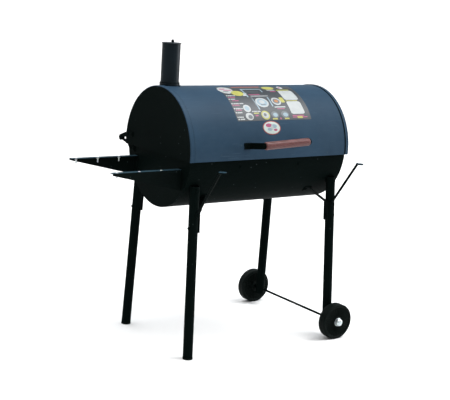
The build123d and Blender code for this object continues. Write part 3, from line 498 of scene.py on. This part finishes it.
def label_art():
    """Plain shapes in the manner of a sales sticker: panels, discs, rules and blank lines of print."""
    art = [(rounded(117, 188, 229, 293, 9), "white", 1), (bar(117, 181, 296, 303), "yellow", 1)]
    art += [(rounded(117, 185, 158, 221, 9), "white", 1), (bar(119, 176, 222, 226), "yellow", 1)]
    art += [(oval(-128, 306, 33, 31), "white", 1), (bar(-154, -128, 311, 319, 6), "pink", 2)]
    art += [(bar(-138, -103, 300, 306, 3), "pink", 2), (bar(-146, -120, 289, 294), "grey", 2)]
    art += [(bar(-79, 57, 333, 341), "red", 1), (bar(-76, 54, 336, 338), "orange", 2)]
    art += [(oval(-87, 278, 28, 20), "yellow", 1), (oval(90, 322, 29, 17), "yellow", 1)]
    art += [(oval(153, 325, 12, 15), "white", 1), (oval(152, 327, 5, 6), "pink", 2)]
    art += [(bar(70, 112, 297, 302), "white", 1), (bar(80, 108, 286, 290), "pink", 1)]
    art += [(bar(-54, 42, 308, 313), "sky", 1), (bar(37, 42, 284, 308, 2), "sky", 1)]
    art += [(bar(-46, 20, 285, 288), "grey", 1), (bar(-54, -48, 250, 308), "sky", 1)]
    art += [(bar(-70, -52, 258, 279, 8), "white", 1), (bar(-40, 14, 264, 268), "pink", 1)]
    art += [(bar(-36, 48, 254, 258), "white", 1), (bar(-33, -27, 182, 238, -8), "sky", 1)]
    art += [(bar(37, 43, 196, 248), "sky", 1), (bar(-40, -34, 204, 250), "grey", 1)]
    art += [(oval(-2, 218, 30, 26), "white", 1), (oval(-2, 218, 24, 20), "sky", 2)]
    art += [(oval(-2, 221, 13, 10), "white", 3), (bar(-14, 10, 204, 208), "grey", 3)]
    art += [(oval(70, 223, 22, 21), "white", 1), (oval(70, 223, 16, 14), "grey", 2)]
    art += [(oval(70, 224, 9, 8), "orange", 3), (rounded(92, 112, 215, 245, 5), "yellow", 1)]
    art += [(bar(47, 100, 190, 195), "white", 1), (bar(56, 92, 182, 186), "pink", 1)]
    art += [(oval(-89, 189, 17, 18), "white", 1), (oval(-89, 189, 11, 11), "sky", 2)]
    art += [(oval(-91, 152, 18, 16), "white", 1), (oval(-88, 150, 10, 9), "grey", 2)]
    art += [(oval(-13, 156, 20, 20), "yellow", 1), (oval(-13, 156, 15, 14), "white", 2)]
    art += [(oval(-15, 158, 7, 7), "grey", 3)]
    art += [(oval(33, 157, 18, 15), "grey", 1), (oval(35, 156, 11, 9), "sky", 2)]
    art += [(oval(83, 157, 19, 16), "grey", 1), (oval(85, 156, 12, 9), "sky", 2)]
    art += [(bar(16, 40, 136, 142), "yellow", 1), (oval(56, 140, 4, 4), "pink", 1)]
    art += [(bar(75, 98, 136, 142), "yellow", 1)]
    art += [(shape, "white", 1) for shape in dashes(-72, -31, 171, 5, 6)]
    art += [(bar(-66, -42, 163, 168), "yellow", 1), (bar(-62, -48, 152, 158), "pink", 1)]
    art += [(bar(118, 176, 149, 153), "pink", 1), (bar(117, 190, 142, 146), "pink", 1)]
    art += [(bar(140, 166, 139, 148), "yellow", 2)]
    for x0, x1, v, ink in LABEL_LINES:
        art += [(shape, ink, 1) for shape in dashes(x0, x1, v, 5, max(3, round((x1 - x0) / 9)))]
    return art


LABEL_LINES = (             # left and right ends, height and ink
    (-151, -108, 258, "white"), (-147, -112, 248, "pink"), (-151, -120, 236, "white"),
    (-139, -108, 227, "pink"), (-151, -94, 211, "white"), (-149, -114, 203, "pink"),
    (-151, -108, 186, "white"), (-144, -116, 179, "pink"), (-150, -117, 167, "white"),
    (-150, -118, 147, "white"), (-148, -117, 138, "white"),
)
LABEL_GROUND = (-154.0, 208.0, 132.7, 340.3)
BADGE_V = 102.6
BADGE_HALF = (42.6, 27.8)


def add_label():
    """The label as a thin film with its print in layers."""
    builder = bmesh.new()
    x0, x1, v0, v1 = LABEL_GROUND
    add_patch(builder, rounded(x0, x1, v0, v1, 2.0), "night", 0)
    for shape, ink, layer in label_art():
        add_patch(builder, shape, ink, layer)
    add_piece("label_print", builder, INKS.values(), "lid", ("lid_label",))


def add_badge():
    """An oval sticker: a red-pink ring about a pale field with a plain flame and coals."""
    builder = bmesh.new()
    half_x, half_v = BADGE_HALF
    add_patch(builder, oval(0, BADGE_V, half_x, half_v, 30), "red", 0)
    add_patch(builder, oval(0, BADGE_V, half_x - 3.5, half_v - 3.0, 28), "cream", 1)
    add_patch(builder, oval(-12, BADGE_V + 10, 15, 8), "pink", 2)
    add_patch(builder, oval(17, BADGE_V - 9, 9, 5), "pink", 2)
    add_patch(builder, oval(12, BADGE_V + 6, 14, 8), "sky", 2)
    add_patch(builder, oval(-10, BADGE_V - 6, 12, 6), "sky", 2)
    add_patch(builder, oval(2, BADGE_V + 1, 6, 10), "white", 3)
    add_piece("badge_print", builder, INKS.values(), "lid", ("lid_badge",))


# ---- lid ends ---------------------------------------------------------------------------------------------

BAND_WIDTH = 20.0
RIM_BEND = 3.2              # outer corner of the folded rim


def add_lid_end(name, side, painted_shadow_width):
    """A pressed end: a slightly dished plate, a rounded corner and a band folded over the skin, with a
    rolled bead at its inner edge, under a painted shadow in black over a given width; the plate is black as
    painted shade. It is cut off level with the lid's edges."""
    node = f"lid_end_{name}"
    low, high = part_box(node)
    outer_x = high.x if side > 0 else low.x
    band, skin = BAND_R / MM, LID_R / MM + 0.1
    bead = 2.4
    profile = [(-1.6, 0.0), (-1.6, skin - 3.0), (-1.6, skin), (-BAND_WIDTH, skin)]
    profile += arc(-BAND_WIDTH + bead / 2, band - bead / 2 + 0.2, bead / 2, 180, 90, 4)
    profile += [(-BAND_WIDTH + max(painted_shadow_width, 1.2 * bead), band - 0.25)]
    profile += [(-RIM_BEND - 4.0, band - 0.25)]
    profile += arc(-RIM_BEND, band - RIM_BEND - 0.1, RIM_BEND, 90, 0, 7)
    profile += [(-0.5, band - 9.0), (-1.0, band - 14.0), (-1.0, 60.0), (-0.9, 0.0)]
    builder = bmesh.new()

    def material_of(along, radius):
        """Black on the plate as painted shade and along the band's inner edge as a painted shadow, and the
        lid's blue on the rest of the band.
        """
        on_plate = along > -1.7 * MM and radius < (band - RIM_BEND - 1.5) * MM
        return 1 if on_plate or along < (painted_shadow_width - BAND_WIDTH) * MM else 0

    centre = Vector((outer_x, MID_Y, AXIS_Z))
    add_lathe(builder, in_mm(profile), centre, (side, 0, 0), (0, -1, 0), 144, material_of)
    cut_below(builder, LID_FRONT_LOW, Vector((0, 0, 1)))
    add_piece(f"lid_end_{name}_pressed", builder, [LOOKS["lid_paint"], LOOKS["black_paint"]], "lid",
              (node,))


def cut_below(builder, height, normal):
    """Cuts a mesh level and closes the cut."""
    geometry = builder.verts[:] + builder.edges[:] + builder.faces[:]
    cut = bmesh.ops.bisect_plane(builder, geom=geometry, plane_co=(0, 0, height), plane_no=-normal,
                                 clear_inner=False, clear_outer=True)
    edges = [item for item in cut["geom_cut"] if isinstance(item, bmesh.types.BMEdge)]
    bmesh.ops.holes_fill(builder, edges=edges)


# ---- handle ---------------------------------------------------------------------------------------------

GRIP_TILT = 2.56            # the handle's right end is higher, in degrees
GRIP_R = 15.35
GRIP_HALF = 106.0           # of its length


def add_grip():
    """A turned wooden grip: a shallow swell, round shoulders and a bore for its rod."""
    low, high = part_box("handle_grip")
    centre = (low + high) / 2
    outwards = Vector((0, centre.y - MID_Y, centre.z - AXIS_Z)).normalized()
    tilt = Matrix.Rotation(math.radians(GRIP_TILT), 3, outwards)
    axis = tilt @ Vector((1, 0, 0))
    radius, half = GRIP_R, GRIP_HALF
    bore = 3.2
    profile = [(-half, bore), (-half, radius - 5.0)]
    profile += arc(-half + 5.0, radius - 5.0, 4.9, 180, 92, 7)[1:]
    profile += [(-half * 0.75, radius - 0.35), (-half * 0.4, radius - 0.08), (0.0, radius)]
    profile += [(half * 0.4, radius - 0.08), (half * 0.75, radius - 0.35)]
    profile += arc(half - 5.0, radius - 5.0, 4.9, 88, 0, 7)
    profile += [(half, radius - 5.0), (half, bore)]
    builder = bmesh.new()
    add_lathe(builder, in_mm(profile), centre, axis, outwards, 56)
    add_piece("wooden_grip", builder, [LOOKS["stained_wood"]], "lid", ("handle_grip",))


# ---- wheels and hub caps ----------------------------------------------------------------------------------

RIB_COUNT = 36
WHEEL_BORE = 4.9


def add_wheel(name, side):
    """A moulded wheel: a rounded tread with a parting groove, a face of fine ribs and a raised hub."""
    node = f"wheel_{name}"
    low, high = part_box(node)
    centre = (low + high) / 2
    radius = (high.z - low.z) / 2 / MM
    half = (high.y - low.y) / 2 / MM
    face = half - 3.2
    profile = [(-half, WHEEL_BORE), (-half, 22.0), (-face, 24.0)]
    profile += [(-face, radius - 14.0), (-half + 0.8, radius - 12.0)]
    profile += arc(-half + 5.0, radius - 5.0, 5.0, 180, 90, 7)
    profile += [(-0.8, radius), (0.0, radius - 0.9), (0.8, radius)]
    profile += arc(half - 5.0, radius - 5.0, 5.0, 90, 0, 7)
    profile += [(half - 0.2, radius - 8.0), (half - 1.4, radius - 9.2), (half - 0.3, radius - 10.4)]
    profile += [(half - 0.8, radius - 12.0), (face, radius - 14.0)]
    profile += [(face, 24.0), (half, 22.0), (half, WHEEL_BORE)]
    builder = bmesh.new()
    add_lathe(builder, in_mm(profile), centre, (0, side, 0), (0, 0, 1), 108)
    for number in range(RIB_COUNT):
        turn = Matrix.Rotation(2 * math.pi * (number + 0.5) / RIB_COUNT, 4, "Y")
        for way in (-1, 1):
            add_rib(builder, centre, turn, way, face, radius)
    add_piece(f"wheel_{name}_moulded", builder, [LOOKS["black_plastic"]], node, (node,))


def add_rib(builder, centre, turn, way, face, radius):
    """One tapered rib on a wheel's face, from the hub out to the tread."""
    inner, outer, sunk = 22.5, radius - 13.0, 1.0
    sections = []
    for reach, half_foot, half_top, height in ((inner, 0.9, 0.5, 2.3), (outer, 1.9, 1.1, 2.3)):
        outline = ((-half_foot, -sunk), (half_foot, -sunk), (half_top, height), (-half_top, height))
        points = [Vector((across, way * (face + rise), reach)) * MM for across, rise in outline]
        sections.append([builder.verts.new(centre + turn @ point) for point in points])
    first, last = sections
    builder.faces.new(first)
    builder.faces.new(last[::-1])
    for index in range(4):
        nxt = (index + 1) % 4
        builder.faces.new((first[index], last[index], last[nxt], first[nxt]))


def add_hub_caps():
    """Domed push nuts with a flared rim on the axle's ends."""
    low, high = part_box("hub_caps")
    radius = (high.z - low.z) / 2 / MM
    centre = (low + high) / 2
    builder = bmesh.new()
    for side in (-1, 1):
        outer = (high.y - low.y) / 2 / MM
        seat = outer - 18.6
        profile = [(seat, 4.9), (seat, radius - 0.6), (seat + 0.6, radius), (seat + 2.0, radius)]
        profile += [(seat + 2.8, radius - 1.4), (seat + 9.0, radius - 1.9)]
        profile += [(outer - 7.0, radius - 2.6), (outer - 3.6, radius - 5.2), (outer - 1.4, radius - 9.4)]
        profile += [(outer - 0.3, 4.0), (outer, 0.0), (outer - 12.0, 0.0), (outer - 12.0, 4.9)]
        add_lathe(builder, in_mm(profile), centre, (0, side, 0), (0, 0, 1), 56)
    add_piece("hub_caps_domed", builder, [LOOKS["hub_cap_metal"]], "stand", ("hub_caps",))


# ---- stack foot -------------------------------------------------------------------------------------------

def add_stack_weld():
    """A weld bead where the stack leaves its collar."""
    low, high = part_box("stack_collar")
    tube_low, tube_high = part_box("stack_tube")
    centre = Vector(((low.x + high.x) / 2, (low.y + high.y) / 2, high.z))
    stack_r = (tube_high.x - tube_low.x) / 2
    builder = bmesh.new()
    rings = []
    for step in range(180):
        turn = 2 * math.pi * step / 180
        swell = 1.7 * MM * (1.0 + 0.22 * math.sin(turn * 31) + 0.10 * math.sin(turn * 12 + 1.0))
        radial = Vector((math.cos(turn), math.sin(turn), 0))
        ring = []
        for index in range(8):
            around = 2 * math.pi * index / 8
            reach = stack_r + 1.0 * MM + swell * math.cos(around)
            ring.append(builder.verts.new(centre + radial * reach + Vector((0, 0, swell * math.sin(around)))))
        rings.append(ring)
    for here, after in zip(rings, rings[1:] + rings[:1]):
        for index in range(8):
            nxt = (index + 1) % 8
            builder.faces.new((here[index], here[nxt], after[nxt], after[index]))
    add_piece("stack_weld", builder, [LOOKS["black_paint"]], "lid")


# ---- light and floor ------------------------------------------------------------------------------------

def make_world():
    """A dim surrounding light, behind which a plain white backdrop is seen above the floor."""
    world = bpy.data.worlds.new("studio")
    world.use_nodes = True
    tree = world.node_tree
    dim = tree.nodes["Background"]
    white = tree.nodes.new("ShaderNodeBackground")
    for background, strength in ((dim, 0.15), (white, 1.0)):
        background.inputs["Color"].default_value = (1.0, 1.0, 1.0, 1.0)
        background.inputs["Strength"].default_value = strength
    either = tree.nodes.new("ShaderNodeMixShader")
    path = tree.nodes.new("ShaderNodeLightPath")
    tree.links.new(path.outputs["Is Camera Ray"], either.inputs[0])
    tree.links.new(dim.outputs[0], either.inputs[1])
    tree.links.new(white.outputs[0], either.inputs[2])
    tree.links.new(either.outputs[0], tree.nodes["World Output"].inputs["Surface"])
    bpy.context.scene.world = world
    bpy.context.scene.view_settings.view_transform = "Standard"


def add_lamp(kind, name, place, target, color):
    data = bpy.data.lights.new(name, kind)
    data.color = color
    lamp = bpy.data.objects.new(name, data)
    lamp.location = place
    lamp.rotation_euler = (Vector(target) - Vector(place)).to_track_quat("-Z", "Y").to_euler()
    lamp.visible_camera = False
    bpy.context.scene.collection.objects.link(lamp)
    return data


def add_softbox(name, place, target, size, power, color):
    data = add_lamp("AREA", name, place, target, color)
    data.shape = "RECTANGLE"
    data.size, data.size_y = size
    data.energy = power


SUNS = (
    ("key_sun", (1.6, -1.0, 3.2), 1.8, 25),
    ("high_sun", (0.3, -1.0, 3.2), 2.4, 90),
    ("far_sun", (-1.0, 1.4, 2.6), 1.7, 70),
)


def make_lights():
    middle = (MID_X, MID_Y, 0.7)
    for name, place, energy, spread in SUNS:
        sun = add_lamp("SUN", name, place, (0, 0, 0), (1.0, 1.0, 1.0))
        sun.energy = energy
        sun.angle = math.radians(spread)
    add_softbox("overhead", (0.3, 0.2, 2.9), middle, (2.4, 1.6), 25.0, (0.88, 0.95, 1.0))
    add_softbox("right_side", (3.2, -1.0, 1.5), middle, (1.4, 1.8), 70.0, (0.93, 0.97, 1.0))
    add_softbox("back_wall", (1.6, 4.6, 2.0), middle, (6.0, 2.6), 36.0, (0.86, 0.94, 1.0))


def make_floor():
    builder = bmesh.new()
    bmesh.ops.create_grid(builder, x_segments=1, y_segments=1, size=240.0)
    data = bpy.data.meshes.new("floor")
    builder.to_mesh(data)
    builder.free()
    data.materials.append(pale_floor("pale_floor"))
    floor = bpy.data.objects.new("floor", data)
    bpy.context.scene.collection.objects.link(floor)
    floor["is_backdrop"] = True


def write_size():
    boxes = {"cad": cad_box, "visual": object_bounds()}
    plain = {name: [list(corner) for corner in corners] for name, corners in boxes.items()}


make_camera()
make_world()
make_lights()
make_floor()
paint_cad_nodes()
add_label()
add_badge()
# Width in millimetres of the painted shadow in black along each band's inner edge, wider on the right end.
for end_name, end_side, end_painted_shadow_width in (("left", -1, 1.6), ("right", 1, 5.0)):
    add_lid_end(end_name, end_side, end_painted_shadow_width)
add_grip()
for wheel_name, wheel_side in (("front", -1), ("back", 1)):
    add_wheel(wheel_name, wheel_side)
add_hub_caps()
add_stack_weld()
write_size()
